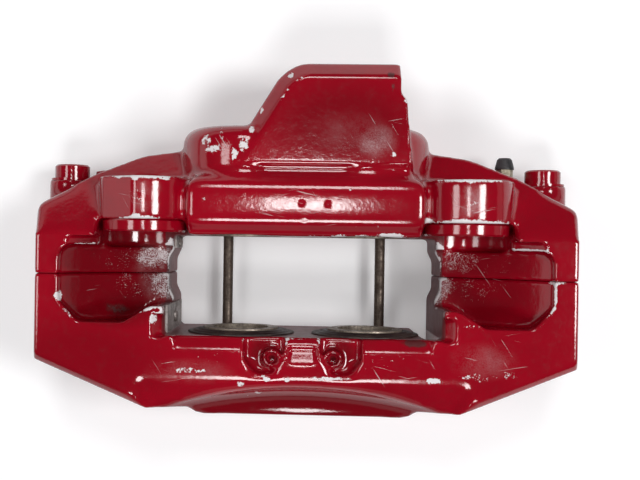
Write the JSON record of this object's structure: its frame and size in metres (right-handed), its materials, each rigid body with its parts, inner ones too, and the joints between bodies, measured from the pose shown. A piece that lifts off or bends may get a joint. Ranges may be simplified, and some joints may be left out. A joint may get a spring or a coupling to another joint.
{
  "type": "brake caliper",
  "caption": "Two-piece fixed disc-brake caliper with opposed pistons, pad pins, bridge bolts and a cast carrier block, in glossy red paint.",
  "frame": {"origin": "midway between the two mounting threads, on the face of the lugs that bears on the suspension", "axes": "+X along the caliper; +Y along the disc's axle towards the suspension side; +Z towards the axle, so that the caliper lies on its outer back"},
  "size_m": [0.303, 0.193, 0.092],
  "materials": {
    "red_paint": "glossy deep red paint over cast aluminium, chipped on its edges",
    "bolt_paint": "steel bolts overpainted in glossy red",
    "zinc_steel": "dull zinc-plated steel",
    "bush_steel": "plated steel under worn red paint",
    "plate_steel": "dull stainless sheet",
    "pin_steel": "darkened steel with light rust",
    "piston_alloy": "hard-anodised, dusty",
    "boot_rubber": "dusty dark rubber",
    "seal_rubber": "clean black rubber",
    "cap_rubber": "matt black rubber"
  },
  "bodies": {
    "housing": {"abutment_plate_inboard": "plate_steel", "abutment_plate_outboard": "plate_steel", "abutment_screws": "plate_steel", "bridge_bolts_inner": "zinc_steel", "bridge_bolts_outer": "bolt_paint", "crossover_seals": "seal_rubber", "dust_boot_inboard_left": "boot_rubber", "dust_boot_inboard_right": "boot_rubber", "dust_boot_outboard_left": "boot_rubber", "dust_boot_outboard_right": "boot_rubber", "hose_insert": "zinc_steel", "inboard_half": "red_paint", "mounting_bush_left": "bush_steel", "mounting_bush_right": "bush_steel", "outboard_half": "red_paint", "passage_plugs": "bolt_paint", "piston_seal_inboard_left": "seal_rubber", "piston_seal_inboard_right": "seal_rubber", "piston_seal_outboard_left": "seal_rubber", "piston_seal_outboard_right": "seal_rubber"},
    "piston_inboard_left_body": {"piston_inboard_left": "piston_alloy"},
    "piston_inboard_right_body": {"piston_inboard_right": "piston_alloy"},
    "piston_outboard_left_body": {"piston_outboard_left": "piston_alloy"},
    "piston_outboard_right_body": {"piston_outboard_right": "piston_alloy"},
    "pad_pin_left_body": {"pad_pin_left": "pin_steel", "pin_sleeve_left": "zinc_steel"},
    "pad_pin_right_body": {"pad_pin_right": "pin_steel", "pin_sleeve_right": "zinc_steel"},
    "bleed_screw_body": {"bleed_screw": "zinc_steel"},
    "bleed_cap_body": {"bleed_cap": "cap_rubber"}
  },
  "joints": [
    {"name": "piston_inboard_left_slide", "type": "slide", "parent": "housing", "child": "piston_inboard_left_body", "axis": [0, -1, 0], "range_m": [0, 0.012], "deforming": ["dust_boot_inboard_left"]},
    {"name": "piston_inboard_right_slide", "type": "slide", "parent": "housing", "child": "piston_inboard_right_body", "axis": [0, -1, 0], "range_m": [0, 0.012], "deforming": ["dust_boot_inboard_right"]},
    {"name": "piston_outboard_left_slide", "type": "slide", "parent": "housing", "child": "piston_outboard_left_body", "axis": [0, 1, 0], "range_m": [0, 0.012], "deforming": ["dust_boot_outboard_left"]},
    {"name": "piston_outboard_right_slide", "type": "slide", "parent": "housing", "child": "piston_outboard_right_body", "axis": [0, 1, 0], "range_m": [0, 0.012], "deforming": ["dust_boot_outboard_right"]},
    {"name": "pad_pin_left_slide", "type": "slide", "parent": "housing", "child": "pad_pin_left_body", "axis": [0, -1, 0], "range_m": [0, 0.128]},
    {"name": "pad_pin_right_slide", "type": "slide", "parent": "housing", "child": "pad_pin_right_body", "axis": [0, -1, 0], "range_m": [0, 0.128]},
    {"name": "bleed_screw_turn", "type": "hinge", "parent": "housing", "child": "bleed_screw_body", "pos_m": [0.117, 0.0056, -0.043], "axis": [0, 1, 0], "range_deg": [0, 270]},
    {"name": "bleed_cap_pull", "type": "slide", "parent": "bleed_screw_body", "child": "bleed_cap_body", "axis": [0, 1, 0], "range_m": [0, 0.02]}
  ]
}
